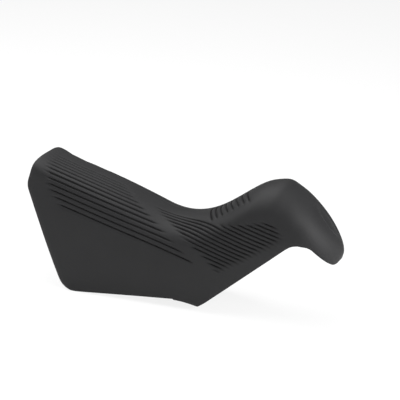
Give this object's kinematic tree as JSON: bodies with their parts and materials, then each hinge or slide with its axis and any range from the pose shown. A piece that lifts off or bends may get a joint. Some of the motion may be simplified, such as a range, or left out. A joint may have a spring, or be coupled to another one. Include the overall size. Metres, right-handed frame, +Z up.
{
  "type": "brake lever hood",
  "caption": "Hollow rubber grip cover for the body of a drop-bar brake lever, with pressed grip lines, thumb ribs and an upswept nose.",
  "frame": {"origin": "under the middle of the sleeve, on the surface that its rear corners and heel stand on", "axes": "+X forward from the open rear end to the nose, +Y inboard, +Z up"},
  "size_m": [0.1288, 0.0378, 0.0555],
  "materials": {
    "rubber": "matte moulded, fine grain"
  },
  "bodies": {
    "root": {"brake_lever_hood": "rubber"}
  },
  "joints": []
}
